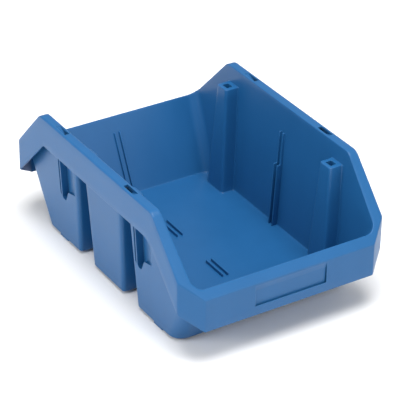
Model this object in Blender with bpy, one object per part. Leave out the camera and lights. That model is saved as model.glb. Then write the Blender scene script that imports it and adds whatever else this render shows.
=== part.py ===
"""Hanging parts bin: a double-ended hopper bin with a hooked rim and stacking columns.

The bin is one blue moulding. Each of its regions is a closed solid of its own, cut from the
same master shapes, so that neighbours always fit one another with GAP between them.
X runs across the bin (left is -X), Y along it (front is -Y) and Z up. The feet stand on Z = 0.
"""

import math

import bmesh
import bpy

MM = 0.001

# Overall sizes
LENGTH = 317.5 * MM  # over the front and back faces
WIDTH = 212.7 * MM  # over the left and right skirts
BODY_HEIGHT = 127.0 * MM  # underside of the floor to the top of the rim
FOOT_HEIGHT = 2.5 * MM  # stacking feet, below the floor

# Moulding
WALL = 2.2 * MM
FLOOR = 2.5 * MM
GAP = 0.3 * MM  # between neighbouring solids
CORNER_RADIUS = 11.0 * MM  # inside the four corners of the tub
CORNER_STEPS = 4

# Tub: how far the inside of the walls stands in from the outline of the rim
SIDE_SETBACK = 16.35 * MM  # at the floor, left and right
END_SETBACK = 42.15 * MM  # at the floor, front and back
RIM_WIDTH = 9.05 * MM  # at the rim, left and right
LIP_WIDTH = 7.15 * MM  # at the rim, front and back

# Rim and skirt
RIM_RUN = 61.15 * MM  # length of the sloping stretch at each end
RIM_FALL = 62.1 * MM  # how far the rim falls over it
SKIRT_HEIGHT = 29.5 * MM  # level stretch, rim top to lower edge
SKIRT_RUN = 64.75 * MM  # length of the skirt's sloping lower edge at each end
END_SKIRT_HEIGHT = 32.4 * MM
CORNER_CUT_X = 18.65 * MM  # corner facets of the rim
CORNER_CUT_Y = 15.25 * MM

# Slots in the top of the rim
SLOT_LENGTH = 16.0 * MM
SLOT_WIDTH = 5.2 * MM
SLOT_OFFSET = 7.5 * MM  # from the middle of the pocket, towards the middle of the bin
SLOT_INSET = 4.75 * MM  # middle of the slot to the edge of the rim

# Stacking columns: open below and outside, capped on top
COLUMN_DEPTH = 14.0 * MM  # into the bin from the wall
COLUMN_BASE = 28.5 * MM  # width along Y at the floor
COLUMN_CAP = 16.0 * MM  # width along Y at the top
COLUMN_DROP = 16.0 * MM  # cap below the rim
RIGHT_COLUMN_INSET = 30.6 * MM  # column middle to the end of the floor
LEFT_COLUMN_SHARE = 0.46  # place of the left columns, as a share of the right columns' place
CAP_HOLE_LENGTH = 8.0 * MM
CAP_HOLE_WIDTH = 6.5 * MM
CAP_HOLE_INSET = 3.6 * MM  # from the column's inner face

# Stacking feet
FOOT_LENGTH = 15.0 * MM
FOOT_WIDTH = 7.0 * MM
FOOT_INSET = 1.0 * MM  # in from the outside of the wall

# Pockets in the left wall, under the rim slots
POCKET_LENGTH = 29.0 * MM
POCKET_CLEARANCE = 1.25 * MM  # between the pocket and the column beside it
POCKET_DEPTH = 5.0 * MM
POCKET_TOP_DROP = 18.0 * MM  # below the rim
POCKET_CHANNEL_LENGTH = 14.0 * MM  # the deeper part, on the back side
POCKET_CHANNEL_Z = 49.5 * MM
POCKET_STEP_Z = 62.5 * MM
POCKET_EDGE = 1.5 * MM

# Card recess in the front and back faces
CARD_WIDTH = 74.0 * MM
CARD_DEPTH = 2.5 * MM
CARD_EDGE = 1.8 * MM
CARD_RISE = 9.5 * MM  # bottom of the recess above the skirt's lower edge

# Divider guides
GUIDE_PITCH = 5.5 * MM
GUIDE_THICK = 1.3 * MM
SIDE_GUIDE_DROP = 27.0 * MM  # top of the guide below the rim
SIDE_GUIDE_STEP_Z = 69.5 * MM
SIDE_GUIDE_LOW = 5.5 * MM  # stands out from the wall, below the step
SIDE_GUIDE_HIGH = 2.0 * MM  # and above it
END_GUIDE_HEIGHT = 55.5 * MM  # above the floor
END_GUIDE_OUT = 2.0 * MM
FLOOR_GUIDE_START = 25.5 * MM
FLOOR_GUIDE_LENGTH = 28.5 * MM
FLOOR_GUIDE_HEIGHT = 2.5 * MM

BEYOND = 20.0 * MM  # how far a master shape runs past what it cuts
BLUE = (0.022, 0.130, 0.400, 1.0)
ROUGHNESS = 0.38

# Levels and half sizes that follow from those above
FLOOR_TOP = FOOT_HEIGHT + FLOOR
RIM_TOP = FOOT_HEIGHT + BODY_HEIGHT
END_TOP = RIM_TOP - RIM_FALL
HALF_LENGTH = LENGTH / 2
HALF_WIDTH = WIDTH / 2
LEVEL_HALF = HALF_LENGTH - RIM_RUN
RIM_SLOPE = RIM_FALL / RIM_RUN
RIM_ANGLE = math.atan(RIM_SLOPE)
END_SKIRT_LOW = END_TOP - END_SKIRT_HEIGHT
COLUMN_TOP = RIM_TOP - COLUMN_DROP
FLOOR_HALF_X = HALF_WIDTH - SIDE_SETBACK
FLOOR_HALF_Y = HALF_LENGTH - END_SETBACK
SIDE_SLOPE = (SIDE_SETBACK - RIM_WIDTH) / (RIM_TOP - FLOOR_TOP)
LIP_Z = END_TOP + LIP_WIDTH * RIM_SLOPE
END_SLOPE = (END_SETBACK - LIP_WIDTH) / (LIP_Z - FLOOR_TOP)
WALL_X = WALL * math.hypot(1, SIDE_SLOPE)  # side wall, measured along X
WALL_Y = WALL * math.hypot(1, END_SLOPE)  # end wall, measured along Y
RIGHT_COLUMN_Y = FLOOR_HALF_Y - RIGHT_COLUMN_INSET
LEFT_COLUMN_Y = RIGHT_COLUMN_Y * LEFT_COLUMN_SHARE
SPLIT_X = FLOOR_HALF_X - CORNER_RADIUS  # joint between side and end walls
SPLIT_Y = HALF_LENGTH - CORNER_CUT_Y  # joint between side and end rims

LEFT, RIGHT = -1, 1
FRONT, BACK = -1, 1
SIDES = {"left": LEFT, "right": RIGHT}
ENDS = {"front": FRONT, "back": BACK}


def side_x(z):
    """Distance of the side wall's inner face from the middle, at a height."""
    return FLOOR_HALF_X + (z - FLOOR_TOP) * SIDE_SLOPE


def end_y(z):
    """Distance of the end wall's inner face from the middle, at a height."""
    return FLOOR_HALF_Y + (z - FLOOR_TOP) * END_SLOPE


def column_half(z):
    """Half the column's width along Y, at a height."""
    share = (z - FOOT_HEIGHT) / (COLUMN_TOP - FOOT_HEIGHT)
    return (COLUMN_BASE + (COLUMN_CAP - COLUMN_BASE) * share) / 2


def column_places(side):
    """Y of the two columns in this side's wall."""
    y = LEFT_COLUMN_Y if side == LEFT else RIGHT_COLUMN_Y
    return {"front": -y, "back": y}


POCKET_LOW = POCKET_CHANNEL_Z - POCKET_EDGE
POCKET_HALF = POCKET_LENGTH / 2
POCKET_Y = LEFT_COLUMN_Y + column_half(POCKET_LOW) + POCKET_CLEARANCE + POCKET_EDGE + POCKET_HALF
SLOT_Y = POCKET_Y - SLOT_OFFSET


def clear_scene():
    for obj in list(bpy.data.objects):
        bpy.data.objects.remove(obj)


def new_collection(name):
    collection = bpy.data.collections.new(name)
    bpy.context.scene.collection.children.link(collection)
    return collection


def plastic(name):
    material = bpy.data.materials.new(name)
    material.use_nodes = True
    material.diffuse_color = BLUE
    shader = material.node_tree.nodes["Principled BSDF"]
    shader.inputs["Base Color"].default_value = BLUE
    shader.inputs["Roughness"].default_value = ROUGHNESS
    shader.inputs["Metallic"].default_value = 0.0
    return material


def add_piece(name, bm):
    """A sub-part of the bin, with its own material."""
    obj = add_mesh(name, bm, bpy.data.collections["hanging_parts_bin"])
    obj.data.materials.append(plastic(name + "_plastic"))
    return obj


def add_guide(name, bm):
    """A master shape that only cuts."""
    obj = add_mesh(name, bm, bpy.data.collections["cutters"])
    obj.hide_render = True
    obj.display_type = "WIRE"
    return obj


def add_mesh(name, bm, collection):
    bmesh.ops.recalc_face_normals(bm, faces=bm.faces)
    mesh = bpy.data.meshes.new(name)
    bm.to_mesh(mesh)
    bm.free()
    obj = bpy.data.objects.new(name, mesh)
    collection.objects.link(obj)
    return obj


def box(low, high):
    """A cube stretched between two corners."""
    bm = bmesh.new()
    bmesh.ops.create_cube(bm, size=1)
    for vert in bm.verts:
        vert.co = [lo + (hi - lo) * (c + 0.5) for lo, hi, c in zip(low, high, vert.co)]
    return bm


def wall_block(side, y, half, inner, low, high):
    """A block that leans with the side wall: it starts at inner(z) from the middle of the bin and
    runs out past the wall, and it is half(z) wide each way along Y."""
    bm = box((0, 0, low), (1, 1, high))
    for vert in bm.verts:
        z = vert.co.z
        out = HALF_WIDTH + BEYOND if vert.co.x > 0.5 else inner(z)
        vert.co.x = side * out
        vert.co.y = y + half(z) * (1 if vert.co.y > 0.5 else -1)
    return bm


def prism(outline, place, low, high):
    """A flat outline extruded: place(a, b, c) puts outline point (a, b) at distance c."""
    bm = bmesh.new()
    face = bm.faces.new([bm.verts.new(place(a, b, low)) for a, b in outline])
    made = bmesh.ops.extrude_face_region(bm, geom=[face])
    shift = [hi - lo for hi, lo in zip(place(0, 0, high), place(0, 0, low))]
    verts = [item for item in made["geom"] if isinstance(item, bmesh.types.BMVert)]
    bmesh.ops.translate(bm, verts=verts, vec=shift)
    return bm


def across(y, z, x):
    return (x, y, z)


def upright(x, y, z):
    return (x, y, z)


def along(x, z, y):
    return (x, y, z)


def cut(obj, operation, *others):
    """Adds a Boolean modifier for each master shape."""
    for other in others:
        modifier = obj.modifiers.new(other.name, "BOOLEAN")
        modifier.operation = operation
        modifier.solver = "EXACT"
        modifier.object = other


def tub(name, thick_x, thick_y, low, high):
    """The tub as a solid block, with its walls this much thicker than its inside: a loft
    between a rounded rectangle at the low level and one at the high level."""
    bm = bmesh.new()
    rings = []
    radius = CORNER_RADIUS + max(thick_x, thick_y)
    for z in (low, high):
        centre_x = side_x(z) + thick_x - radius
        centre_y = end_y(z) + thick_y - radius
        ring = []
        for quarter, (sx, sy) in enumerate(((1, 1), (-1, 1), (-1, -1), (1, -1))):
            for step in range(CORNER_STEPS + 1):
                turn = math.pi / 2 * (quarter + step / CORNER_STEPS)
                x = sx * centre_x + radius * math.cos(turn)
                y = sy * centre_y + radius * math.sin(turn)
                ring.append(bm.verts.new((x, y, z)))
        rings.append(ring)
    for ring in rings:
        bm.faces.new(ring)
    edges = [bm.edges.get((ring[i - 1], ring[i])) for ring in rings for i in range(len(ring))]
    bmesh.ops.bridge_loops(bm, edges=edges)
    return add_guide(name, bm)


def rim_line(drop):
    """The rim's side view, from front to back, lowered by this much at right angles to it."""
    half = LEVEL_HALF - drop * math.tan(RIM_ANGLE / 2)
    z_end = END_TOP - drop / math.cos(RIM_ANGLE)
    level = RIM_TOP - drop
    past = HALF_LENGTH + BEYOND
    z_past = z_end - BEYOND * RIM_SLOPE
    return [(-past, z_past), (-half, level), (half, level), (past, z_past)]


def skirt_line():
    """The skirt's lower edge, seen from the side, from back to front."""
    half = HALF_LENGTH - SKIRT_RUN
    level = RIM_TOP - SKIRT_HEIGHT
    past = HALF_LENGTH + BEYOND
    z_past = END_SKIRT_LOW - BEYOND * (level - END_SKIRT_LOW) / SKIRT_RUN
    return [(past, z_past), (half, level), (-half, level), (-past, z_past)]


def rim_plan(inset):
    """The rim's outline from above, moved in by this much: a rectangle with its corners cut."""
    turn = math.atan2(CORNER_CUT_X, CORNER_CUT_Y)  # facet's angle to the side
    half_x = HALF_WIDTH - inset
    half_y = HALF_LENGTH - inset
    cut_y = CORNER_CUT_Y - inset + inset * math.tan(turn / 2)
    cut_x = CORNER_CUT_X - inset + inset * math.tan(math.pi / 4 - turn / 2)
    outline = []
    for sx, sy in ((1, -1), (1, 1), (-1, 1), (-1, -1)):
        ends = [(sx * (half_x - cut_x), sy * half_y), (sx * half_x, sy * (half_y - cut_y))]
        outline += ends if sx == sy * -1 else ends[::-1]
    return outline


def make_masters():
    """The shapes that the pieces are cut from."""
    high = RIM_TOP + BEYOND
    reach = HALF_WIDTH + BEYOND
    masters = {
        "inside": tub("tub_inside", 0, 0, FLOOR_TOP - FLOOR, high),
        "outside": tub("tub_outside", WALL_X, WALL_Y, 0, high),
    }
    past = HALF_LENGTH + BEYOND
    flats = {
        "rim_sheet": rim_line(0) + rim_line(WALL)[::-1],
        "under_rim": rim_line(WALL + GAP) + [(past, -BEYOND * 2), (-past, -BEYOND * 2)],
        "skirt_band": rim_line(WALL + GAP) + skirt_line(),
    }
    for name, outline in flats.items():
        masters[name] = add_guide(name, prism(outline, across, -reach, reach))
    for name, inset in (("rim_outline", 0), ("rim_inside", WALL)):
        masters[name] = add_guide(name, prism(rim_plan(inset), upright, -BEYOND, high))
    return masters


def column_block(side, y, grow, low, high):
    return wall_block(
        side,
        y,
        lambda z: column_half(z) + grow,
        lambda z: side_x(z) - COLUMN_DEPTH - grow,
        low,
        high,
    )


def make_column(masters, side_name, end_name, y):
    """A column and, as a guide, the space that the wall and the floor leave for it."""
    side = SIDES[side_name]
    name = f"{side_name}_{end_name}_column"
    space = add_guide(name + "_space", column_block(side, y, GAP, -BEYOND, COLUMN_TOP + GAP))
    hollow = add_guide(name + "_hollow", column_block(side, y, -WALL, -BEYOND, COLUMN_TOP - WALL))
    column = add_piece(name, column_block(side, y, 0, FOOT_HEIGHT, COLUMN_TOP))
    near = side_x(COLUMN_TOP) - COLUMN_DEPTH + CAP_HOLE_INSET
    ends = sorted((side * near, side * (near + CAP_HOLE_WIDTH)))
    hole = add_guide(
        name + "_hole",
        box(
            (ends[0], y - CAP_HOLE_LENGTH / 2, COLUMN_TOP - WALL * 2),
            (ends[1], y + CAP_HOLE_LENGTH / 2, COLUMN_TOP + WALL),
        ),
    )
    cut(column, "INTERSECT", masters["outside"])
    cut(column, "DIFFERENCE", hollow, hole)
    return space


def make_pocket(masters, end_name):
    """A pocket set into the left wall, and the window that the wall leaves for it."""
    y = ENDS[end_name] * POCKET_Y
    name = f"left_{end_name}_pocket"
    top = RIM_TOP - POCKET_TOP_DROP

    def back(z):
        return side_x(z) + WALL_X - POCKET_DEPTH

    def block(middle, half_length, inner, low, high):
        return wall_block(LEFT, middle, lambda z: half_length, inner, low, high)

    edge = POCKET_HALF + POCKET_EDGE
    ceiling = top + POCKET_EDGE
    space = add_guide(
        name + "_space",
        block(y, edge + GAP, lambda z: back(z) - WALL - GAP, POCKET_LOW - GAP, ceiling + GAP),
    )
    pocket = add_piece(name, block(y, edge, lambda z: back(z) - WALL, POCKET_LOW, ceiling))
    channel_half = POCKET_CHANNEL_LENGTH / 2
    channel_y = y + POCKET_HALF - channel_half
    hollows = [
        add_guide(name + "_channel", block(channel_y, channel_half, back, POCKET_CHANNEL_Z, top)),
        add_guide(name + "_hollow", block(y, POCKET_HALF, back, POCKET_STEP_Z, top)),
    ]
    cut(pocket, "INTERSECT", masters["outside"], masters["under_rim"])
    cut(pocket, "DIFFERENCE", *hollows)
    return space


def make_floor(masters, spaces):
    reach = (HALF_WIDTH, HALF_LENGTH)
    floor = add_piece("floor_pan", box((-reach[0], -reach[1], FOOT_HEIGHT), (*reach, FLOOR_TOP)))
    cut(floor, "INTERSECT", masters["outside"])
    cut(floor, "DIFFERENCE", *spaces["left"], *spaces["right"])


def make_walls(masters, spaces, windows):
    bottom = FLOOR_TOP + GAP
    for name, side in SIDES.items():
        ends = sorted((side * (SPLIT_X + GAP / 2), side * HALF_WIDTH))
        corners = box((ends[0], -HALF_LENGTH, bottom), (ends[1], HALF_LENGTH, RIM_TOP))
        wall = add_piece(f"{name}_side_wall", corners)
        cut(wall, "INTERSECT", masters["outside"], masters["under_rim"])
        cut(wall, "DIFFERENCE", masters["inside"], *spaces[name])
        if side == LEFT:
            cut(wall, "DIFFERENCE", *windows)
    half = SPLIT_X - GAP / 2
    for name, end in ENDS.items():
        ends = sorted((0, end * HALF_LENGTH))
        wall = add_piece(f"{name}_end_wall", box((-half, ends[0], bottom), (half, ends[1], RIM_TOP)))
        cut(wall, "INTERSECT", masters["outside"], masters["under_rim"])
        cut(wall, "DIFFERENCE", masters["inside"])


def make_rim(masters):
    """The flange on top of the walls: a side rim each side and a hopper lip each end."""
    slots = {"left": [], "right": []}
    low_z, high_z = RIM_TOP - WALL * 2, RIM_TOP + WALL
    for name, side in SIDES.items():
        middle = side * (HALF_WIDTH - SLOT_INSET)
        for end_name, end in ENDS.items():
            low = (middle - SLOT_WIDTH / 2, end * SLOT_Y - SLOT_LENGTH / 2, low_z)
            high = (middle + SLOT_WIDTH / 2, end * SLOT_Y + SLOT_LENGTH / 2, high_z)
            slots[name].append(add_guide(f"{name}_{end_name}_slot", box(low, high)))
    half = SPLIT_Y - GAP / 2
    for name, side in SIDES.items():
        ends = sorted((side * SPLIT_X, side * HALF_WIDTH))
        rim = add_piece(f"{name}_rim", box((ends[0], -half, 0), (ends[1], half, RIM_TOP)))
        cut(rim, "INTERSECT", masters["rim_outline"], masters["rim_sheet"])
        cut(rim, "DIFFERENCE", masters["inside"], *slots[name])
    start = SPLIT_Y + GAP / 2
    for name, end in ENDS.items():
        ends = sorted((end * start, end * HALF_LENGTH))
        corners = box((-HALF_WIDTH, ends[0], 0), (HALF_WIDTH, ends[1], RIM_TOP))
        lip = add_piece(f"{name}_lip", corners)
        cut(lip, "INTERSECT", masters["rim_outline"], masters["rim_sheet"])
        cut(lip, "DIFFERENCE", masters["inside"], card_space(name, end, 0, "notch"))


def card_space(name, end, grow, use):
    """The recess for a card, as a block that runs out past the face and up past the rim. A window
    grows each way by the panel's edge and a gap, and goes as deep as the skirt's wall."""
    half = CARD_WIDTH / 2 + grow
    depth = CARD_DEPTH + (WALL if grow else 0)
    ends = sorted((end * (HALF_LENGTH - depth), end * (HALF_LENGTH + BEYOND)))
    low = (-half, ends[0], END_SKIRT_LOW + CARD_RISE - grow)
    high = (half, ends[1], END_TOP + BEYOND)
    return add_guide(f"{name}_card_{use}", box(low, high))


def make_skirts(masters):
    """The edge that hangs from the rim, and the card panel let into it at each end."""
    half = SPLIT_Y - GAP / 2
    for name, side in SIDES.items():
        ends = sorted((side * SPLIT_X, side * HALF_WIDTH))
        skirt = add_piece(f"{name}_skirt", box((ends[0], -half, 0), (ends[1], half, RIM_TOP)))
        cut(skirt, "INTERSECT", masters["rim_outline"], masters["skirt_band"])
        cut(skirt, "DIFFERENCE", masters["rim_inside"])
    start = SPLIT_Y + GAP / 2
    for name, end in ENDS.items():
        ends = sorted((end * start, end * HALF_LENGTH))
        corners = box((-HALF_WIDTH, ends[0], 0), (HALF_WIDTH, ends[1], RIM_TOP))
        skirt = add_piece(f"{name}_skirt", corners)
        cut(skirt, "INTERSECT", masters["rim_outline"], masters["skirt_band"])
        window = card_space(name, end, CARD_EDGE + GAP, "window")
        cut(skirt, "DIFFERENCE", masters["rim_inside"], window)
        make_card_panel(masters, name, end)


def make_card_panel(masters, name, end):
    half = CARD_WIDTH / 2 + CARD_EDGE
    ends = sorted((end * (HALF_LENGTH - CARD_DEPTH - WALL), end * HALF_LENGTH))
    low = (-half, ends[0], END_SKIRT_LOW + CARD_RISE - CARD_EDGE)
    panel = add_piece(f"{name}_card_panel", box(low, (half, ends[1], RIM_TOP)))
    cut(panel, "INTERSECT", masters["under_rim"])
    cut(panel, "DIFFERENCE", card_space(name, end, 0, "recess"))


def make_feet():
    """Feet under each wall, where the wall on the other side has its columns."""
    for name, side in SIDES.items():
        outer = side_x(FOOT_HEIGHT) + WALL_X - FOOT_INSET
        ends = sorted((side * outer, side * (outer - FOOT_WIDTH)))
        for end_name, y in column_places(-side).items():
            low = (ends[0], y - FOOT_LENGTH / 2, 0)
            high = (ends[1], y + FOOT_LENGTH / 2, FOOT_HEIGHT - GAP)
            add_piece(f"{name}_{end_name}_foot", box(low, high))


def make_guides():
    """Rib pairs that hold a divider: on the side walls, the end walls and the floor."""
    start = GUIDE_PITCH / 2 - GUIDE_THICK / 2
    end_of = GUIDE_PITCH / 2 + GUIDE_THICK / 2
    spans = {"a": (-end_of, -start), "b": (start, end_of)}
    bottom = FLOOR_TOP + GAP
    top = RIM_TOP - SIDE_GUIDE_DROP
    step = SIDE_GUIDE_STEP_Z
    for name, side in SIDES.items():
        face = [(side * (side_x(z) - GAP), z) for z in (bottom, top)]
        front = [
            (side * (side_x(z) - out), z)
            for z, out in (
                (top, SIDE_GUIDE_HIGH),
                (step, SIDE_GUIDE_HIGH),
                (step, SIDE_GUIDE_LOW),
                (bottom, SIDE_GUIDE_LOW),
            )
        ]
        for letter, (low, high) in spans.items():
            add_piece(f"{name}_guide_{letter}", prism(face + front, along, low, high))
    top = FLOOR_TOP + END_GUIDE_HEIGHT
    for name, end in ENDS.items():
        outline = [
            (end * (end_y(bottom) - GAP), bottom),
            (end * (end_y(top) - GAP), top),
            (end * (end_y(top) - END_GUIDE_OUT), top),
            (end * (end_y(bottom) - END_GUIDE_OUT), bottom),
        ]
        for letter, (low, high) in spans.items():
            add_piece(f"{name}_guide_{letter}", prism(outline, across, low, high))
        ends = sorted((end * FLOOR_GUIDE_START, end * (FLOOR_GUIDE_START + FLOOR_GUIDE_LENGTH)))
        for letter, (low, high) in spans.items():
            corners = box((low, ends[0], bottom), (high, ends[1], FLOOR_TOP + FLOOR_GUIDE_HEIGHT))
            add_piece(f"floor_{name}_guide_{letter}", corners)


def main():
    clear_scene()
    new_collection("hanging_parts_bin")
    new_collection("cutters")
    masters = make_masters()
    spaces = {
        name: [make_column(masters, name, end, y) for end, y in column_places(side).items()]
        for name, side in SIDES.items()
    }
    windows = [make_pocket(masters, name) for name in ENDS]
    make_floor(masters, spaces)
    make_walls(masters, spaces, windows)
    make_rim(masters)
    make_skirts(masters)
    make_feet()
    make_guides()


main()
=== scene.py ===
"""The hanging parts bin: one seamless blue moulding with its ribs and feet, on a pale floor.

X runs across the bin (left is -X), Y along it (front is -Y) and Z up, all in metres.
"""

import math

import bmesh
import bpy
import numpy as np
from mathutils import Matrix, Vector


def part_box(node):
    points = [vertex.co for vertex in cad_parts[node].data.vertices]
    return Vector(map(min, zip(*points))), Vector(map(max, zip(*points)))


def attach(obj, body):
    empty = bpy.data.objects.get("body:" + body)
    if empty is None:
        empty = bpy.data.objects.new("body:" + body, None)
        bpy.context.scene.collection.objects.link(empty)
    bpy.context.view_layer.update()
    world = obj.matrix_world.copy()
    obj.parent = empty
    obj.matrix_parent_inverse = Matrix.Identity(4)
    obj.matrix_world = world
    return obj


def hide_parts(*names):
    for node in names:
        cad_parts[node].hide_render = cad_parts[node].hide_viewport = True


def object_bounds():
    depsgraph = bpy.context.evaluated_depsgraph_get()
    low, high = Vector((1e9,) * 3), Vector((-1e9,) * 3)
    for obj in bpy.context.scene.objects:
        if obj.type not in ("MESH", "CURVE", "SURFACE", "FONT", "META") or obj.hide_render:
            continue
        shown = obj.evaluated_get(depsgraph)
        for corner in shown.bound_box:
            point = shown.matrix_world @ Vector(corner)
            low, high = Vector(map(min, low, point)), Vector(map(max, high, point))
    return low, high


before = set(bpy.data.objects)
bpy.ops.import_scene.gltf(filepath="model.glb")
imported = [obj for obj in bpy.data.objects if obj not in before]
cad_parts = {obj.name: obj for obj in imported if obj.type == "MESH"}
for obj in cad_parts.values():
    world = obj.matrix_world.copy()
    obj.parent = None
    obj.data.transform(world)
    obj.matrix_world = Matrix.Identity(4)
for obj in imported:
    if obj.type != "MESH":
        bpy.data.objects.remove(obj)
CAD_BOX = [list(corner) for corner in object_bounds()]

MM = 0.001
SHARP_ANGLE = math.radians(32)

# Sizes that the frame gives
GROUND = CAD_BOX[0][2]
HALF_WIDTH, HALF_LENGTH, RIM_TOP = CAD_BOX[1]
FOOT_HEIGHT, FLOOR_TOP = (corner.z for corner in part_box("floor_pan"))
COLUMN_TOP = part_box("right_back_column")[1].z
CARD_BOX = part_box("front_card_panel")
POCKET_MIDDLE = sum(corner.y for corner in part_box("left_back_pocket")) / 2

# Moulding
WALL = 2.2 * MM
FLOOR_HALF_X = 90.0 * MM  # inside of the side walls at the floor
FLOOR_HALF_Y = 116.6 * MM  # inside of the end walls at the floor
RIM_WIDTH = 9.05 * MM
LIP_WIDTH = 7.15 * MM
CORNER_RADIUS = 11.0 * MM
END_TOP = 67.4 * MM
LEVEL_HALF = 100.0 * MM  # where the rim starts to fall
RIM_SLOPE = (RIM_TOP - END_TOP) / (HALF_LENGTH - LEVEL_HALF)
RIM_ANGLE = math.atan(RIM_SLOPE)
RIM_BEND = 11.0 * MM
SKIRT_LEVEL = 100.0 * MM
SKIRT_END = 35.0 * MM
SKIRT_HALF = 94.0 * MM
SKIRT_BEND = (26.0 * MM, 4.0 * MM)  # at the left front and right back, and at the others
CUT_X, CUT_Y = 18.65 * MM, 15.25 * MM  # corner facets
OUTLINE_RADIUS = 3.0 * MM

SIDE_SLOPE = (HALF_WIDTH - RIM_WIDTH - FLOOR_HALF_X) / (RIM_TOP - FLOOR_TOP)
LIP_Z = END_TOP + LIP_WIDTH * RIM_SLOPE
END_SLOPE = (HALF_LENGTH - LIP_WIDTH - FLOOR_HALF_Y) / (LIP_Z - FLOOR_TOP)
WALL_X = WALL * math.hypot(1, SIDE_SLOPE)

# Columns
COLUMN_DEPTH = 14.0 * MM
COLUMN_BASE = 28.5 * MM
COLUMN_CAP = 16.0 * MM
CAP_EDGE = 0.7 * MM
CAP_HOLE = (6.5 * MM, 8.0 * MM)  # along X and Y
CAP_HOLE_INSET = 3.6 * MM
WELL_DEPTH = 7.0 * MM
WELL_SKIN = 1.2 * MM
WELL_RADIUS, HOLE_RADIUS = 0.8 * MM, 0.5 * MM
JOIN_RADIUS = 1.5 * MM  # where a column leaves the wall
COLUMN_RADIUS = 2.5 * MM

# Roundings
FLOOR_FILLET = (0.9 * MM, 1.0 * MM)  # along the side walls and the end walls
MOUTH_EDGE = 0.9 * MM
RIM_EDGE = 1.6 * MM
SKIRT_EDGE = 0.7 * MM
UNDER_FILLET = 0.8 * MM
BASE_EDGE = 2.0 * MM
RING = 0.3 * MM  # between a rounding and the edge of the flat face past it
INSIDE_LEVELS = np.linspace(12, 104, 9) * MM
ABOVE_CAPS = np.array([116.5, 121.0, 125.0]) * MM
BEHIND_SKIRT = np.array([122.0, 115.0]) * MM

# Slots in the rim, with ramps under them
SLOT_LENGTH = 18.0 * MM
SLOT_WIDTH = 4.6 * MM
SLOT_INSET = 4.75 * MM  # of its middle, from the bin's side
SLOT_OFFSET = 7.5 * MM  # from the pocket's middle, towards the bin's
SLOT_SHIFT = 3.0 * MM  # towards the back, at both ends
SLOT_RADIUS = 0.6 * MM
RAMP_START = 1.0 * MM  # past the slot's outer end
RAMP_STOP = 0.5 * MM  # past the slot's middle
RAMP_TOP = 0.4 * MM  # below the rim
RAMP_FALL = 3.8 * MM
RAMP_THICK = 1.6 * MM
RAMP_OVERLAP = 0.4 * MM  # into the slot's sides
RAMP_RADIUS = 0.2 * MM

# Pockets in the left wall
POCKET_DEPTH = 7.0 * MM
POCKET_END_DEPTH = 0.3 * MM
POCKET_SKIN = 1.6 * MM  # of plastic behind it
POCKET_EDGE = 1.5 * MM
POCKET_STEP = (12.0 * MM, 60.3 * MM)  # from the channel's back side, and height
POCKET_LOW = (6.5 * MM, 48.6 * MM)
POCKET_LIFT = 0.4 * MM  # of the channel's back corner above its lowest point
POCKET_END_Z = 63.4 * MM
SLIT_WIDTH = 2.1 * MM
SLIT_RIB = 1.6 * MM
SLIT_DEPTH = 4.5 * MM
SLIT_LIFT = (2.0 * MM, 4.0 * MM)  # of its lower corners above the channel's lowest point
BOSS_EDGE = 0.6 * MM
REACH_OUT = 3.0 * MM  # how far what cuts the pocket stands out of the wall

# Card recess
CARD_HALF = 37.0 * MM
CARD_LOW = 44.5 * MM
CARD_TOP = END_TOP - 2.2 * MM
CARD_DEPTH = 1.9 * MM
CARD_TAPER = 0.6  # share of the depth that is left near the top
CARD_SLOPE = 5.0 * MM  # height of the slope above it
CARD_SKIN = 1.6 * MM
CARD_OUT = 1.0 * MM  # how far what cuts the recess stands out of the face
CARD_BACKING = 1.2 * MM  # where the backing starts, below the face
UNDERCUT_DEPTHS = (0.4, 0.95)  # shares of the recess's depth
UNDERCUT_OVERLAP = 0.4 * MM
CARD_UNDERCUT = 1.2 * MM

# Guides and feet
SEPARATE = ("_foot", "guide_a", "guide_b")  # nodes that have a piece of their own
SINK = 0.4 * MM  # how far they reach into the moulding
GUIDE_STEP_Z = 69.5 * MM
GUIDE_HIGH = 2.0 * MM
END_GUIDE_OUT = 2.5 * MM
FLOOR_GUIDE_MORE = 0.6 * MM  # above its node
GUIDE_EDGE = 0.3 * MM
FOOT_EDGE = 0.6 * MM
FOOT_RADIUS = 1.2 * MM

# Colours and lights
BLUE_DEEP = (0.0105, 0.096, 0.256, 1)
BLUE_PALE = (0.0120, 0.104, 0.276, 1)
# Pale blue for the scuffs, which are wear, and for the painted highlight along rounded edges
BLUE_SCUFF_AND_EDGE_HIGHLIGHT = (0.050, 0.200, 0.430, 1)
# How far the edges pale towards it: a painted highlight
EDGE_HIGHLIGHT = 0.5
ROUGHNESS = 0.35
COAT, COAT_ROUGHNESS = 0.12, 0.75
ROOM = 0.45
TOP_POWER = 42.0
FRONT_POWER = 12.0
LEFT_POWER = 17.0
TARGET_Z = 62.5 * MM  # the point that the camera is turned to
FLOOR_SIZE = 16.0
CAMERA_TURN = (32.12, 30.86, 0.71)  # azimuth, elevation and roll
CAMERA_LENS = 187.25
CAMERA_DISTANCE = 1.9086
SHIFT = (0.0127, -0.0105)

LEFT, RIGHT = -1, 1
FRONT, BACK = -1, 1


# ---- numbers ------------------------------------------------------------------------------


def unit(v):
    """Vectors divided by their lengths."""
    return v / np.linalg.norm(v, axis=-1, keepdims=True)


def bent_line(y, level, start, slope, radius):
    """Height of a line that is level near the middle and falls at the slope beyond start. The
    bend is a circular arc, which touches both stretches."""
    angle = math.atan(slope)
    tangent = radius * math.tan(angle / 2)
    past = np.abs(y) - (start - tangent)
    on_arc = radius - np.sqrt(np.maximum(radius**2 - np.clip(past, 0, radius) ** 2, 0))
    beyond = (past - tangent) * slope
    turned = np.where(past < radius * math.sin(angle), on_arc, beyond)
    return level - np.where(past <= 0, 0, turned)


def roof(y, drop=0.0):
    """Height of the rim's top face, or of a face parallel to it this much lower."""
    start = LEVEL_HALF - drop * math.tan(RIM_ANGLE / 2)
    return bent_line(y, RIM_TOP - drop, start, RIM_SLOPE, RIM_BEND - drop)


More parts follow.
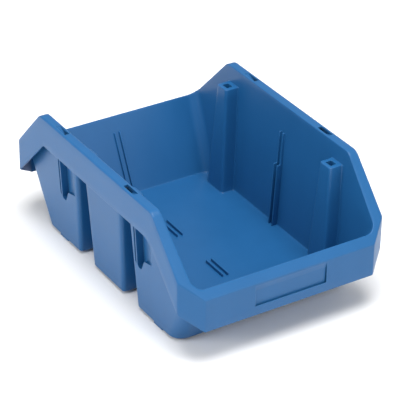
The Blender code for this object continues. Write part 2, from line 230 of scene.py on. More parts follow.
def skirt_low(x, y):
    """Height of the skirt's lower edge."""
    slope = (SKIRT_LEVEL - SKIRT_END) / (HALF_LENGTH - SKIRT_HALF)
    wide, tight = (bent_line(y, SKIRT_LEVEL, SKIRT_HALF, slope, bend) for bend in SKIRT_BEND)
    return np.where(x * y > 0, wide, tight)


def side_x(z):
    """How far out a side wall's inside is at a height."""
    return FLOOR_HALF_X + (z - FLOOR_TOP) * SIDE_SLOPE


def end_y(z):
    """How far out an end wall's inside is at a height."""
    return FLOOR_HALF_Y + (z - FLOOR_TOP) * END_SLOPE


def column_half(z):
    """Half the width of a column along the wall at a height."""
    share = (z - FOOT_HEIGHT) / (COLUMN_TOP - FOOT_HEIGHT)
    return (COLUMN_BASE + (COLUMN_CAP - COLUMN_BASE) * share) / 2


def column_y(side, end):
    """Middle of a column along Y, from its node's box."""
    name = f"{'left' if side == LEFT else 'right'}_{'front' if end == FRONT else 'back'}_column"
    low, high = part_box(name)
    return (low.y + high.y) / 2


def rounded_path(corners, radii, arcs, runs):
    """A closed outline with rounded corners. Each corner is an arc of its radius that touches
    the two sides there: its points turn evenly from one side's direction to the next. The run
    after it is straight, with a point at each given share of its length.

    corners holds (heights, corners, 2). Returns the points, the outward normals and the first
    point's place of each corner, for an outline that goes round anticlockwise from above."""
    into = unit(corners - np.roll(corners, 1, axis=1))
    out = unit(np.roll(corners, -1, axis=1) - corners)
    turn = np.arctan2(
        into[..., 0] * out[..., 1] - into[..., 1] * out[..., 0], (into * out).sum(-1)
    )
    reach = (radii * np.tan(np.abs(turn) / 2))[..., None]
    begin, end = corners - into * reach, corners + out * reach
    left = np.stack([-into[..., 1], into[..., 0]], axis=-1)
    sense = np.sign(turn)
    points, normals, starts, count = [], [], [], 0
    for k, (radius, steps, shares) in enumerate(zip(radii, arcs, runs)):
        starts.append(count)
        angle = turn[:, k, None] * np.linspace(0, 1, steps + 1)
        sine, cosine = np.sin(angle), np.cos(angle)
        across = left[:, k, None]
        turned = np.stack(
            [
                across[..., 0] * cosine - across[..., 1] * sine,
                across[..., 0] * sine + across[..., 1] * cosine,
            ],
            axis=-1,
        )
        bend = (sense[:, k] * radius)[:, None, None]
        points.append(begin[:, k, None] + bend * (across - turned))
        normals.append(-turned)
        nxt = begin[:, (k + 1) % len(radii), None]
        share = np.asarray(shares)[None, :, None]
        points.append(end[:, k, None] + (nxt - end[:, k, None]) * share)
        normals.append(np.repeat(-turned[:, -1:], len(shares), axis=1))
        count += steps + 1 + len(shares)
    return np.concatenate(points, axis=1), np.concatenate(normals, axis=1), starts


def fillet(edge, one, other, radius, steps):
    """Points of an arc that rounds an edge between two faces. one and other point along the
    faces, away from the edge. The arc touches each face at radius over the tangent of half the
    angle between them, and turns evenly about the centre on their middle line."""
    one, other = unit(one), unit(other)
    half = np.arccos(np.clip((one * other).sum(-1), -1, 1)) / 2
    radius = np.broadcast_to(radius, half.shape)
    reach = (radius / np.tan(half))[..., None]
    centre = edge + unit(one + other) * (radius / np.sin(half))[..., None]
    first, last = edge + one * reach - centre, edge + other * reach - centre
    sweep = (math.pi - 2 * half)[..., None]
    share = np.linspace(0, 1, steps + 1)[:, None, None]
    turned = first * np.sin((1 - share) * sweep) + last * np.sin(share * sweep)
    return centre + turned / np.sin(sweep)


# ---- meshes -------------------------------------------------------------------------------


def finish_piece(obj, nodes):
    """Shades the piece smoothly apart from edges sharper than the angle, gives it the blue
    plastic and puts it in the frame in place of its nodes."""
    mesh = obj.data
    mesh.polygons.foreach_set("use_smooth", np.ones(len(mesh.polygons), bool))
    mesh.set_sharp_from_angle(angle=SHARP_ANGLE)
    mesh.materials.clear()
    mesh.materials.append(bpy.data.materials["blue_polypropylene"])
    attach(obj, "root")
    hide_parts(*nodes)


def closed_grid(name, rows):
    """A closed body from rings of points, each joined to the next, with the first and last
    rings filled. rows holds (rings, points, 3)."""
    rings, count = rows.shape[:2]
    index = np.arange(rings * count).reshape(rings, count)
    after = np.roll(index, -1, axis=1)
    quads = np.stack([index[:-1], after[:-1], after[1:], index[1:]], axis=-1).reshape(-1, 4)
    mesh = bpy.data.meshes.new(name)
    faces = quads.tolist() + [index[0][::-1].tolist(), index[-1].tolist()]
    mesh.from_pydata(rows.reshape(-1, 3), [], faces)
    mesh.update()
    obj = bpy.data.objects.new(name, mesh)
    bpy.context.scene.collection.objects.link(obj)
    return obj


def tidy_mesh(obj):
    """Merges doubled points and makes the faces point outwards."""
    bm = bmesh.new()
    bm.from_mesh(obj.data)
    bmesh.ops.remove_doubles(bm, verts=bm.verts, dist=1e-7)
    bmesh.ops.recalc_face_normals(bm, faces=bm.faces)
    if bm.calc_volume(signed=True) < 0:
        bmesh.ops.reverse_faces(bm, faces=bm.faces)
    bm.to_mesh(obj.data)
    bm.free()


def plate(name, corners, radii, levels, insets, place, arc=3):
    """A flat piece with rounded edges: its outline at each level, moved in by that level's
    inset along its own normals. place turns outline x, outline y and level into X, Y, Z."""
    corners = np.asarray(corners, float)[None]
    count = corners.shape[1]
    path, normal, _ = rounded_path(
        corners, np.asarray(radii, float), [arc] * count, [np.linspace(0, 1, 5)[1:-1]] * count
    )
    rows = [
        np.stack(place(*(path[0] - normal[0] * inset).T, np.full(path.shape[1], level)), axis=-1)
        for level, inset in zip(levels, insets)
    ]
    obj = closed_grid(name, np.array(rows))
    tidy_mesh(obj)
    return obj


def edge_rows(low, high, radius, steps=3):
    """Levels and insets of a plate whose two flat sides have rounded edges: quarter circles."""
    turn = np.linspace(0, math.pi / 2, steps + 1)
    rise, inset = radius * (1 - np.cos(turn)), radius * (1 - np.sin(turn))
    levels = np.concatenate([low + rise, high - rise[::-1]])
    insets = np.concatenate([inset, inset[::-1]])
    return levels, insets


def cut(obj, operation, *tools):
    """Applies a Boolean with each tool in turn, then removes the tools."""
    for tool in tools:
        modifier = obj.modifiers.new(tool.name, "BOOLEAN")
        modifier.operation = operation
        modifier.solver = "EXACT"
        modifier.object = tool
        graph = bpy.context.evaluated_depsgraph_get()
        mesh = bpy.data.meshes.new_from_object(obj.evaluated_get(graph))
        obj.modifiers.clear()
        obj.data = mesh
        bpy.data.objects.remove(tool)


# ---- the seamless moulding ----------------------------------------------------------------

ARC, SMALL_ARC = 14, 4
CAP_STEPS = 4
RIM_ARCS = (6, 2, 6)  # of ARC: the facet's two rounded corners and its straight
STRAIGHT_SHARE = 0.85  # of the mouth's run, where the outline's points are level with its own


def rim_shares(side):
    """Places of the points between a column and the bin's corner, as shares of that run. They
    are close together where the rim bends, which is worked out at the rim's own height."""
    y = abs(column_y(side, BACK))
    first = y + column_half(RIM_TOP) + JOIN_RADIUS
    bend = np.arange(math.ceil(max(first / MM + 0.5, 86)), 106)
    before = np.arange(first / MM, bend[0], 4)[1:]
    target = np.concatenate([before, bend, np.arange(108, 143, 4)]) * MM
    z = roof(target)
    start = y + column_half(z) + JOIN_RADIUS
    return (target - start) / (end_y(z) - CORNER_RADIUS - start)


def tub_path():
    """The inside of the tub seen from above, at two heights, with a point for every column of
    the moulding's grid. All its corners move evenly with height, so two heights are enough."""
    heights = np.array([FLOOR_TOP, COLUMN_TOP])
    corners, radii, arcs, runs = [], [], [], []

    def corner(x, y, radius, steps, shares):
        corners.append(np.stack(np.broadcast_arrays(x, y), axis=-1))
        radii.append(radius)
        arcs.append(steps)
        runs.append(shares)

    even = [np.linspace(0, 1, n + 1)[1:-1] for n in range(24)]
    for side in (RIGHT, LEFT):
        wall, inner = side * side_x(heights), side * (side_x(heights) - COLUMN_DEPTH)
        shares = rim_shares(side)
        corner(wall, -side * end_y(heights), CORNER_RADIUS, ARC, 1 - shares[::-1])
        for end in (FRONT, BACK) if side == RIGHT else (BACK, FRONT):
            y = column_y(side, end)
            before, after = y - side * column_half(heights), y + side * column_half(heights)
            last = end == side * BACK
            corner(wall, before, JOIN_RADIUS, SMALL_ARC, even[4])
            corner(inner, before, COLUMN_RADIUS, SMALL_ARC, even[6])
            corner(inner, after, COLUMN_RADIUS, SMALL_ARC, even[4])
            corner(wall, after, JOIN_RADIUS, SMALL_ARC, shares if last else even[14])
        corner(wall, side * end_y(heights), CORNER_RADIUS, ARC, even[18])
    radii = np.array(radii)
    path, normal, starts = rounded_path(np.stack(corners, axis=1), radii, arcs, runs)
    blocks = [(starts[k], starts[k + 3] + SMALL_ARC) for k in (1, 5, 11, 15)]
    return path, normal[0], starts, blocks


def without_columns(path, normal, blocks):
    """The same path with each column's points spread evenly along the wall behind it."""
    path, normal = path.copy(), normal.copy()
    for first, last in blocks:
        share = np.linspace(0, 1, last - first + 1)[None, :, None]
        path[:, first : last + 1] = (
            path[:, first, None] + (path[:, last, None] - path[:, first, None]) * share
        )
        normal[first : last + 1] = normal[first]
    return path, normal


def at_height(path, z):
    """The path's points at a height for each, as X, Y, Z: straight lines through two heights."""
    share = (z - FLOOR_TOP) / (COLUMN_TOP - FLOOR_TOP)
    flat = path[0] + (path[1] - path[0]) * share[:, None]
    return np.column_stack([flat, z])


def meet_roof(path, drop, offset):
    """Where the wall, moved outwards by offset, meets the roof at this drop: the height is put
    back into the wall's own slope until it settles."""
    z = np.full(path.shape[1], RIM_TOP)
    for _ in range(40):
        z = roof(at_height(path, z)[:, 1] + offset[:, 1], drop)
    place = at_height(path, z)
    place[:, :2] += offset
    return place


def rim_outline(starts, mouth, inset):
    """The rim's outline, a rectangle with its corners cut and rounded, with a point for every
    point of the mouth: the runs follow the mouth's points and the corners have their own."""
    turn = math.atan2(CUT_X, CUT_Y)
    half_x, half_y = HALF_WIDTH - inset, HALF_LENGTH - inset
    cut_y = CUT_Y - inset + inset * math.tan(turn / 2)
    cut_x = CUT_X - inset + inset * math.tan(math.pi / 4 - turn / 2)
    x, y = half_x - cut_x, half_y - cut_y
    first = [(half_x, -y), (half_x, y), (x, half_y), (-x, half_y)]
    second = [(-half_x, y), (-half_x, -y), (-x, -half_y), (x, -half_y)]
    radius = max(OUTLINE_RADIUS - inset, 0.8 * MM)
    one, flat, two = RIM_ARCS
    facet = np.linspace(0, 1, flat + 1)[1:-1]
    reach = (x - radius * math.tan(math.pi / 4 - turn / 2), y - radius * math.tan(turn / 2))
    runs = []
    around = np.append(mouth, mouth[:1], axis=0)
    for k, nxt, axis in ((0, 9, 1), (9, 10, 0), (10, 19, 1), (19, 20, 0)):
        run = around[starts[k] + ARC : (starts + [len(mouth)])[nxt] + 1, axis]
        stop = abs(run[0])
        keep = STRAIGHT_SHARE * stop if axis else 0.0
        moved = np.sign(run) * np.interp(np.abs(run), [0, keep, stop], [0, keep, reach[axis]])
        runs.append(((moved - moved[0]) / (moved[-1] - moved[0]))[1:-1])
    arcs = [one, one, two, two] * 2
    spread = [runs[0], facet, runs[1], facet, runs[2], facet, runs[3], facet]
    path, _, _ = rounded_path(np.array([first + second]), np.full(8, radius), arcs, spread)
    shift = starts[0] + ARC - one  # its first corner is the last part of the mouth's
    return np.roll(path[0], shift, axis=0)


def moulding():
    """The walls, floor, columns, rim and skirt as one closed grid. Each point of the tub's
    path carries one section of the bin: up the inside, over the rim, down the skirt, up behind
    it, and down the outside to the underside of the floor."""
    path, normal, starts, blocks = tub_path()
    plain, plain_normal = without_columns(path, normal, blocks)
    count = path.shape[1]
    in_column = np.zeros(count, bool)
    for first, last in blocks:
        in_column[first : last + 1] = True
    rise = path[1] - path[0]
    height = COLUMN_TOP - FLOOR_TOP
    lean = (rise * normal).sum(-1) / height
    plain_rise = plain[1] - plain[0]
    plain_lean = (plain_rise * plain_normal).sum(-1) / height
    thick = (WALL * np.hypot(1, lean))[:, None] * normal
    plain_thick = (WALL * np.hypot(1, plain_lean))[:, None] * plain_normal
    up = unit(np.column_stack([rise / height, np.ones(count)]))
    plain_up = unit(np.column_stack([plain_rise / height, np.ones(count)]))
    endness = np.abs(normal[:, 1]) * ~in_column
    flat_out = np.column_stack([normal, np.zeros(count)])

    mouth = meet_roof(plain, 0.0, np.zeros((count, 2)))
    under = meet_roof(plain, WALL, plain_thick)
    outline = rim_outline(starts, mouth, 0.0)
    inner = rim_outline(starts, mouth, WALL)
    scale = (mouth[:, 2] - FLOOR_TOP) / (RIM_TOP - FLOOR_TOP)

    def level(z):
        return np.where(in_column, z, FLOOR_TOP + (z - FLOOR_TOP) * scale)

    rows = []

    # Inside: floor ring, fillet, wall up to the caps
    base = at_height(path, np.full(count, FLOOR_TOP))
    radius = FLOOR_FILLET[0] + (FLOOR_FILLET[1] - FLOOR_FILLET[0]) * endness**2
    bend = fillet(base, -flat_out, up, radius, 5)
    rows.append(bend[0] - flat_out * RING)
    rows += list(bend)
    rows += [at_height(path, level(z)) for z in INSIDE_LEVELS]

    # Caps: rounded edge, then flat to the wall. Beside them the wall goes on up.
    under_cap = rows[-1][:, 2]
    past_cap = level(COLUMN_TOP)
    band = []
    for turn in np.linspace(0, math.pi / 2, CAP_STEPS + 1):
        z = COLUMN_TOP - CAP_EDGE * (1 - math.sin(turn))
        moved = at_height(path, np.full(count, z)) + flat_out * CAP_EDGE * (1 - math.cos(turn))
        moved[:, 0] = np.clip(moved[:, 0], -side_x(z), side_x(z))
        band.append(moved)
    cap, wall = band[-1], at_height(plain, np.full(count, COLUMN_TOP))
    for first, last in blocks:
        on_wall = np.isclose(np.abs(cap[first : last + 1, 0]), side_x(COLUMN_TOP), atol=1e-7)
        away = first + np.flatnonzero(~on_wall)
        ends = slice(away[0] - 1, away[-1] + 2)
        wall[first : last + 1, 1] = cap[first : last + 1, 1]
        wall[ends, 1] = np.linspace(*cap[[ends.start, ends.stop - 1], 1], ends.stop - ends.start)
    band += [cap + (wall - cap) * share for share in (0.35, 0.7, 1.0)]
    for step, moved in enumerate(band, 1):
        beside = at_height(plain, under_cap + (past_cap - under_cap) * step / len(band))
        rows.append(np.where(in_column[:, None], moved, beside))

    # Upper wall and mouth
    across = np.column_stack([outline - mouth[:, :2], roof(outline[:, 1]) - mouth[:, 2]])
    rows += [at_height(plain, level(z)) for z in ABOVE_CAPS]
    rows += list(fillet(mouth, -plain_up, across, MOUTH_EDGE, 4))

    # Rim, skirt and lower edge
    for share in (0.3, 0.5, 0.7):
        flat = mouth[:, :2] + (outline - mouth[:, :2]) * share
        rows.append(np.column_stack([flat, roof(flat[:, 1])]))
    down = np.tile([0.0, 0.0, -1.0], (count, 1))
    corner = np.column_stack([outline, roof(outline[:, 1])])
    rows += list(fillet(corner, -across, down, RIM_EDGE, 5))
    low = skirt_low(*outline.T)
    top = rows[-1][:, 2]
    for share in (0.25, 0.5, 0.75):
        rows.append(np.column_stack([outline, top + (low - top) * share]))
    inwards = np.column_stack([inner - outline, np.zeros(count)])
    rows += list(fillet(np.column_stack([outline, low]), -down, inwards, SKIRT_EDGE, 4))
    rows += list(fillet(np.column_stack([inner, low]), -inwards, -down, SKIRT_EDGE, 4))

    # Behind the skirt and under the rim
    ceiling = roof(inner[:, 1], WALL)
    for share in (0.35, 0.7, 1.0):
        rows.append(np.column_stack([inner, low + (ceiling - low) * share]))
    back = np.column_stack([under[:, :2] - inner, under[:, 2] - ceiling])
    rows += list(fillet(under, -back, -plain_up, UNDER_FILLET, 3))

    # Outside: wall, groove ceiling, grooves, base
    hollow_top = COLUMN_TOP - WALL
    outer, plain_outer = path + thick[None], plain + plain_thick[None]
    rows += [at_height(plain_outer, level(z)) for z in BEHIND_SKIRT]
    rows.append(at_height(plain_outer, level(hollow_top)))
    rows.append(at_height(outer, level(hollow_top)))
    rows += [at_height(outer, level(z)) for z in INSIDE_LEVELS[::-1]]
    foot = at_height(outer, np.full(count, FOOT_HEIGHT))
    bend = fillet(foot, up, -flat_out, BASE_EDGE, 6)
    rows += list(bend)
    rows.append(bend[-1] - flat_out * RING)
    return closed_grid("bin_moulding", np.array(rows))


# ---- what is let into it ------------------------------------------------------------------


def slab(name, low, high, radius, place):
    """A block whose outline is a rectangle with rounded corners, between two levels."""
    (x0, y0, z0), (x1, y1, z1) = low, high
    corners = [(x0, y0), (x1, y0), (x1, y1), (x0, y1)]
    return plate(name, corners, [radius] * 4, (z0, z1), (0, 0), place)


def upright(a, b, c):
    """Leaves an outline in X and Y, with its levels along Z."""
    return a, b, c


def along_x(a, b, c):
    """Puts an outline in Y and Z, with its levels along X."""
    return c, a, b


def rim_slot(side, end):
    """A slot through the rim, and the ramp under it, which falls towards the bin's middle."""
    middle_x = side * (HALF_WIDTH - SLOT_INSET)
    middle_y = end * (POCKET_MIDDLE - SLOT_OFFSET) + SLOT_SHIFT
    low = (middle_x - SLOT_WIDTH / 2, middle_y - SLOT_LENGTH / 2, RIM_TOP - 2 * WALL)
    high = (middle_x + SLOT_WIDTH / 2, middle_y + SLOT_LENGTH / 2, RIM_TOP + WALL)
    hole = slab("slot", low, high, SLOT_RADIUS, upright)
    start, stop = middle_y + end * (SLOT_LENGTH / 2 + RAMP_START), middle_y - end * RAMP_STOP
    high_end, low_end = RIM_TOP - RAMP_TOP, RIM_TOP - RAMP_FALL
    outline = [
        (start, high_end - RAMP_THICK),
        (stop, low_end - RAMP_THICK),
        (stop, low_end),
        (start, high_end),
    ]
    if end == FRONT:
        outline = outline[::-1]
    half = SLOT_WIDTH / 2 + RAMP_OVERLAP
    levels = (middle_x - half, middle_x + half)
    ramp = plate("ramp", outline, [RAMP_RADIUS] * 4, levels, (0, 0), along_x, arc=2)
    return hole, ramp


def cap_hole(side, end):
    """The well under a column's cap, and the hole through both."""
    y = column_y(side, end)
    near = side_x(COLUMN_TOP) - COLUMN_DEPTH + CAP_HOLE_INSET
    x = sorted((side * near, side * (near + CAP_HOLE[0])))
    low = np.array([x[0], y - CAP_HOLE[1] / 2, COLUMN_TOP - WELL_DEPTH])
    high = np.array([x[1], y + CAP_HOLE[1] / 2, COLUMN_TOP - WALL / 2])
    skin = np.array([WELL_SKIN, WELL_SKIN, 0])
    well = slab("well", low - skin, high + skin, WELL_RADIUS, upright)
    reach = np.array([0, 0, 2 * WALL])
    return well, slab("hole", low - reach, high + reach, HOLE_RADIUS, upright)


def in_left_wall(depth_in, depth_out):
    """Places an outline drawn in Y and Z on the left wall's lean. Level 0 is depth_in below
    the wall's outer face, which follows Y, and level 1 is depth_out below it."""

    def place(a, b, level):
        depth = depth_in(a) + (depth_out - depth_in(a)) * level
        return -(side_x(b) + WALL_X - depth), a, b

    return place


def pocket(end):
    """A pocket in the left wall: a round-bottomed channel on its back side with a thin slit
    behind it, and a floor that rises from the channel's depth to the wall's face. Returns what
    is added behind the wall, then what is cut away."""
    low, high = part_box(f"left_{'front' if end == FRONT else 'back'}_pocket")
    first, last = low.y + POCKET_EDGE, high.y - POCKET_EDGE
    top = high.z - POCKET_EDGE
    channel = last - SLIT_WIDTH - SLIT_RIB

    def rising(y):
        share = (y - first) / (channel - first)
        return POCKET_END_DEPTH + (POCKET_DEPTH - POCKET_END_DEPTH) * share

    def hollow(name, outline, radii, depth):
        where = in_left_wall(depth, -REACH_OUT)
        return plate(name, outline, [r * MM for r in radii], (0, 1), (0, 0), where, arc=6)

    def slit_depth(_):
        return SLIT_DEPTH

    def behind(a, b, level):
        return -(side_x(level) + WALL_X - b), a, level

    deepest = POCKET_DEPTH + POCKET_SKIN
    plan = [
        (low.y, WALL / 2),
        (high.y, WALL / 2),
        (high.y, deepest),
        (channel, deepest),
        (low.y, POCKET_END_DEPTH + POCKET_SKIN),
    ]
    levels, insets = edge_rows(low.z, high.z, BOSS_EDGE)
    boss = plate("boss", plan, np.array([0.1, 0.1, 1.5, 3, 0.1]) * MM, levels, insets, behind)
    step_y, step_z = channel - POCKET_STEP[0], POCKET_STEP[1]
    low_y, low_z = channel - POCKET_LOW[0], POCKET_LOW[1]
    outline = [
        (first, POCKET_END_Z),
        (step_y, step_z),
        (low_y, low_z),
        (channel, low_z + POCKET_LIFT),
        (channel, top),
        (first, top),
    ]
    recess = hollow("recess", outline, [0.8, 1.2, 3.6, 2.6, 0.3, 0.3], rising)
    edge, near, far = last - SLIT_WIDTH, *(low_z + lift for lift in SLIT_LIFT)
    outline = [(edge, near), (last, far), (last, top), (edge, top)]
    slit = hollow("slit", outline, [0.3, 0.3, 0.3, 0.3], slit_depth)
    return boss, (recess, slit)


def card_recess(end):
    """A shallow recess for a card, deepest at its lower edge and sloping out at its top, with
    undercuts behind its lower and side edges. Returns the backing that is added, then what is
    cut away."""
    face = end * HALF_LENGTH

    def place(a, b, level):
        return a, face - end * level, b

    def across(a, b, level):
        return level, face - end * a, b

    behind = CARD_DEPTH + CARD_SKIN
    low, high = CARD_BOX[0].z, CARD_TOP + CARD_OUT
    near, far = (CARD_BOX[0].x, low, CARD_BACKING), (CARD_BOX[1].x, high, behind)
    backing = slab("backing", near, far, 0.3 * MM, place)
    profile = [
        (-CARD_OUT, CARD_LOW),
        (CARD_DEPTH, CARD_LOW),
        (CARD_DEPTH * CARD_TAPER, CARD_TOP - CARD_SLOPE),
        (0, CARD_TOP),
        (-CARD_OUT, CARD_TOP),
    ]
    radii = np.array([0.2, 0.2, 0.5, 0.1, 0.1]) * MM
    recess = plate("recess", profile, radii, (-CARD_HALF, CARD_HALF), (0, 0), across)
    grown, lowest = CARD_HALF + CARD_UNDERCUT, CARD_LOW - CARD_UNDERCUT
    near, far = (share * CARD_DEPTH for share in UNDERCUT_DEPTHS)
    inner = CARD_HALF - UNDERCUT_OVERLAP
    spans = [
        (-grown, grown, lowest, CARD_LOW + UNDERCUT_OVERLAP),
        (-grown, -inner, lowest, CARD_TOP - CARD_SLOPE),
        (inner, grown, lowest, CARD_TOP - CARD_SLOPE),
    ]
    undercuts = [
        slab("undercut", (x0, z0, near), (x1, z1, far), 0.2 * MM, place)
        for x0, x1, z0, z1 in spans
    ]
    return backing, (recess, *undercuts)


def add_moulding():
    """The seamless moulding with its slots, pockets, holes and card recesses."""
    body = moulding()
    tidy_mesh(body)
    for side in (LEFT, RIGHT):
        for end in (FRONT, BACK):
            slot, ramp = rim_slot(side, end)
            well, hole = cap_hole(side, end)
            cut(body, "UNION", well)
            cut(body, "DIFFERENCE", slot, hole)
            cut(body, "UNION", ramp)
    for end in (FRONT, BACK):
        boss, hollows = pocket(end)
        cut(body, "UNION", boss)
        cut(body, "DIFFERENCE", *hollows)
        backing, hollows = card_recess(end)
        cut(body, "UNION", backing)
        cut(body, "DIFFERENCE", *hollows)
    shell = [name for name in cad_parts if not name.endswith(SEPARATE)]
    finish_piece(body, shell)


# ---- guides and feet ----------------------------------------------------------------------


def side_guide(low, high):
    """A stepped rib up a side wall."""
    side = math.copysign(1, high.x + low.x)
    foot, top = FLOOR_TOP - SINK, high.z
    proud = side_x(low.z) - min(abs(low.x), abs(high.x))
    outline = [
        (side_x(foot) + SINK, foot),
        (side_x(foot) - proud, foot),
        (side_x(GUIDE_STEP_Z) - proud, GUIDE_STEP_Z),
        (side_x(GUIDE_STEP_Z) - GUIDE_HIGH, GUIDE_STEP_Z),
        (side_x(top) - GUIDE_HIGH, top),
        (side_x(top) + SINK, top),
    ]

    def place(a, b, c):
        return a * side, c, b

    return outline, [0.2, 0.4, 0.8, 0.8, 0.8, 0.2], (low.y, high.y), place


def end_guide(low, high):
    """A rib up an end wall."""
    end = math.copysign(1, high.y + low.y)
    foot, top = FLOOR_TOP - SINK, high.z
    outline = [
        (end_y(foot) + SINK, foot),
        (end_y(foot) - END_GUIDE_OUT, foot),
        (end_y(top) - END_GUIDE_OUT, top),
        (end_y(top) + SINK, top),
    ]

    def place(a, b, c):
        return c, a * end, b

    return outline, [0.2, 0.4, 0.8, 0.2], (low.x, high.x), place


def floor_guide(low, high):
    """A rib along the floor."""
    foot, top = FLOOR_TOP - SINK, high.z + FLOOR_GUIDE_MORE
    outline = [(low.y, foot), (high.y, foot), (high.y, top), (low.y, top)]
    return outline, [0.2, 0.2, 0.8, 0.8], (low.x, high.x), along_x


GUIDES = {"left": side_guide, "right": side_guide, "front": end_guide, "back": end_guide}


def add_guides():
    """Rib pairs that hold a divider. Each is a plate, outlined where it meets its wall or the
    floor and along its free edge, with its edges rounded. It stands SINK into the moulding."""
    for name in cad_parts:
        if not name.endswith(("guide_a", "guide_b")):
            continue
        make = GUIDES.get(name.split("_guide")[0], floor_guide)
        outline, radii, (near, far), place = make(*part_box(name))
        after = outline[1:] + outline[:1]
        if sum(p[0] * q[1] - q[0] * p[1] for p, q in zip(outline, after)) < 0:
            outline, radii = outline[::-1], radii[::-1]
        levels, insets = edge_rows(near, far, GUIDE_EDGE)
        rib = plate(f"{name}_rib", outline, [r * MM for r in radii], levels, insets, place)
        finish_piece(rib, [name])


def add_feet():
    """Stacking feet: rounded pads with a soft lower edge, which stand SINK into the base."""
    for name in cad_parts:
        if not name.endswith("_foot"):
            continue
        low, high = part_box(name)
        corners = [(low.x, low.y), (high.x, low.y), (high.x, high.y), (low.x, high.y)]
        turn = np.linspace(0, math.pi / 2, 4)
        levels = [*(low.z + FOOT_EDGE * (1 - np.cos(turn))), FOOT_HEIGHT + SINK]
        insets = [*(FOOT_EDGE * (1 - np.sin(turn))), 0]
        pad = plate(f"{name}_pad", corners, [FOOT_RADIUS] * 4, levels, insets, upright)
        finish_piece(pad, [name])


# ---- material -----------------------------------------------------------------------------


class Wire:
    """A value in a material. Arithmetic on wires and numbers adds Math nodes."""

    def __init__(self, finish, socket):
        self.finish, self.socket = finish, socket

    def math(self, operation, first, second):
        return self.finish.node("Math", {"operation": operation}, {0: first, 1: second})

    def __add__(self, other):
        return self.math("ADD", self, other)

    def __sub__(self, other):
        return self.math("SUBTRACT", self, other)

    def __mul__(self, other):
        return self.math("MULTIPLY", self, other)

    def __rsub__(self, other):
        return self.math("SUBTRACT", other, self)

    __radd__, __rmul__ = __add__, __mul__


class Finish:
    """A material and its nodes."""

    def __init__(self, name):
        self.material = bpy.data.materials.new(name)
        self.material.use_nodes = True
        self.tree = self.material.node_tree
        self.shader = self.tree.nodes["Principled BSDF"]

    def node(self, kind, settings, sockets, output=0):
        """Adds a node: its settings first, a ramp's stops among them, then its sockets."""
        node = self.tree.nodes.new("ShaderNode" + kind)
        for key, value in settings.items():
            if key == "stops":
                for element, (place, grey) in zip(node.color_ramp.elements, value):
                    element.position, element.color = place, (grey, grey, grey, 1)
            else:
                setattr(node, key, value)
        for key, value in sockets.items():
            self.feed(node.inputs[key], value)
        return Wire(self, node.outputs[output])

    def feed(self, socket, value):
        if isinstance(value, Wire):
            self.tree.links.new(value.socket, socket)
        else:
            socket.default_value = value

    def noise(self, where, scale, detail=2.0, stretch=None):
        if stretch:
            where = self.node("Mapping", {}, {"Vector": where, "Scale": stretch})
        return self.node("TexNoise", {}, {"Vector": where, "Scale": scale, "Detail": detail})

    def ramp(self, value, low, high, first=0.0, last=1.0):
        return self.node(
            "ValToRGB", {"stops": ((low, first), (high, last))}, {"Fac": value}
        )

    def blend(self, share, one, other):
        """Mixes two colours."""
        return self.node(
            "Mix", {"data_type": "RGBA"}, {0: share, 6: one, 7: other}, output=2
        )


def blue_polypropylene():
    """Moulded polypropylene: satin, slightly cloudy, with faint flow lines down the walls, a
    fine skin, a painted highlight that makes the edges paler, and a few light scuffs."""
    finish = Finish("blue_polypropylene")
    where = finish.node("TexCoord", {}, {}, output=3)
    cloud = finish.noise(where, 14.0)
    flow = finish.noise(where, 1.0, 3.0, (55.0, 55.0, 5.0))
    skin = finish.noise(where, 700.0, 3.0)
    peel = finish.noise(where, 130.0, 1.0)
    scuffs = finish.ramp(finish.noise(where, 1.0, 6.0, (420.0, 60.0, 420.0)), 0.66, 0.78)
    patches = finish.ramp(finish.noise(where, 22.0, 2.0), 0.5, 0.68)
    marks = scuffs * patches

    # Edge mask from the Bevel node's rounded normal: it drives the painted highlight along edges
    # and a little roughness
    rounded = finish.node("Bevel", {"samples": 6}, {"Radius": 0.6 * MM})
    plain = finish.node("NewGeometry", {}, {}, output=1)
    same = finish.node("VectorMath", {"operation": "DOT_PRODUCT"}, {0: rounded, 1: plain}, 1)
    edge = finish.ramp(1 - same, 0.004, 0.10)

    tone = cloud * 0.5 + flow * 0.5
    colour = finish.blend(finish.ramp(tone, 0.3, 0.7), BLUE_DEEP, BLUE_PALE)
    # Painted highlight: the colour pales along rounded edges
    colour = finish.blend(edge * EDGE_HIGHLIGHT, colour, BLUE_SCUFF_AND_EDGE_HIGHLIGHT)
    colour = finish.blend(marks * 0.25, colour, BLUE_SCUFF_AND_EDGE_HIGHLIGHT)
    finish.feed(finish.shader.inputs["Base Color"], colour)
    rough = ROUGHNESS - 0.04 + cloud * 0.05 + skin * 0.03 + marks * 0.15 + edge * 0.05
    finish.feed(finish.shader.inputs["Roughness"], rough)
    height = skin * 0.25 + peel * 0.75 + flow * 0.6
    bump = finish.node(
        "Bump",
        {},
        {"Strength": 0.12, "Distance": 0.15 * MM, "Height": height, "Normal": rounded},
    )
    finish.feed(finish.shader.inputs["Normal"], bump)
    finish.shader.inputs["IOR"].default_value = 1.36
    finish.shader.inputs["Coat Weight"].default_value = COAT
    finish.shader.inputs["Coat Roughness"].default_value = COAT_ROUGHNESS


def paper_floor():
    """The stage's pale floor: matt, with the faintest grain."""
    finish = Finish("pale_floor")
    where = finish.node("TexCoord", {}, {}, output=3)
    grain = finish.ramp(finish.noise(where, 3.0), 0.3, 0.7, 0.90, 0.92)
    finish.feed(finish.shader.inputs["Base Color"], grain)
    finish.shader.inputs["Roughness"].default_value = 0.9
    finish.shader.inputs["Specular IOR Level"].default_value = 0.1
    return finish.material


# ---- stage --------------------------------------------------------------------------------


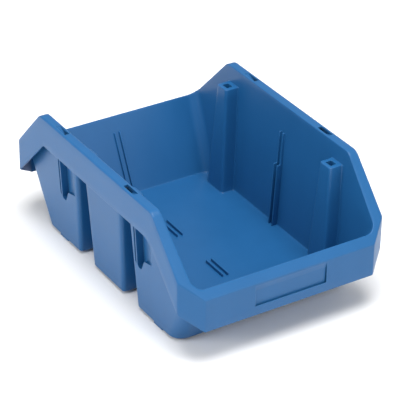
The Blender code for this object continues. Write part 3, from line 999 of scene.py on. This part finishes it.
def add_camera():
    """The camera, turned about its own axis by a little roll, that looks at a point on the
    bin's middle line."""
    azimuth, elevation, roll = (math.radians(degrees) for degrees in CAMERA_TURN)
    target = np.array([0, 0, TARGET_Z])
    level = math.cos(elevation)
    back = np.array(
        [-math.sin(azimuth) * level, -math.cos(azimuth) * level, math.sin(elevation)]
    )
    right = np.array([math.cos(azimuth), -math.sin(azimuth), 0])
    above = np.cross(back, right)
    sine, cosine = math.sin(roll), math.cos(roll)
    right, above = cosine * right + sine * above, cosine * above - sine * right
    data = bpy.data.cameras.new("camera")
    data.lens, data.sensor_width = CAMERA_LENS, 36.0
    data.shift_x, data.shift_y = SHIFT
    camera = bpy.data.objects.new("camera", data)
    turn = Matrix((right, above, back)).transposed()
    camera.matrix_world = Matrix.Translation(target + back * CAMERA_DISTANCE) @ turn.to_4x4()
    bpy.context.scene.collection.objects.link(camera)
    bpy.context.scene.camera = camera


def add_softbox(name, place, aim, size, power):
    """A square area light that faces a point."""
    data = bpy.data.lights.new(name, "AREA")
    data.shape, data.size, data.energy = "SQUARE", size, power
    light = bpy.data.objects.new(name, data)
    light.location = place
    light.rotation_euler = (Vector(aim) - Vector(place)).to_track_quat("-Z", "Y").to_euler()
    bpy.context.scene.collection.objects.link(light)


def add_stage():
    """A pale floor, a dim white room and soft lights from above, in front and the left."""
    half = FLOOR_SIZE / 2
    mesh = bpy.data.meshes.new("floor")
    corners = [(-half, -half), (half, -half), (half, half), (-half, half)]
    mesh.from_pydata([(x, y, GROUND) for x, y in corners], [], [(0, 1, 2, 3)])
    floor = bpy.data.objects.new("floor", mesh)
    mesh.materials.append(paper_floor())
    bpy.context.scene.collection.objects.link(floor)
    world = bpy.data.worlds.new("studio")
    bpy.context.scene.world = world
    world.use_nodes = True
    world.node_tree.nodes["Background"].inputs["Color"].default_value = (1, 1, 1, 1)
    world.node_tree.nodes["Background"].inputs["Strength"].default_value = ROOM
    add_softbox("top_softbox", (-0.1, -0.3, 1.9), (0, 0, 0), 1.2, TOP_POWER)
    add_softbox("front_softbox", (0.5, -1.9, 1.1), (0, 0, 0.05), 1.0, FRONT_POWER)
    add_softbox("left_softbox", (-1.8, 0.1, 1.0), (0, 0, 0.1), 1.0, LEFT_POWER)
    bpy.context.scene.view_settings.view_transform = "Standard"


add_camera()
blue_polypropylene()
add_moulding()
add_guides()
add_feet()
add_stage()
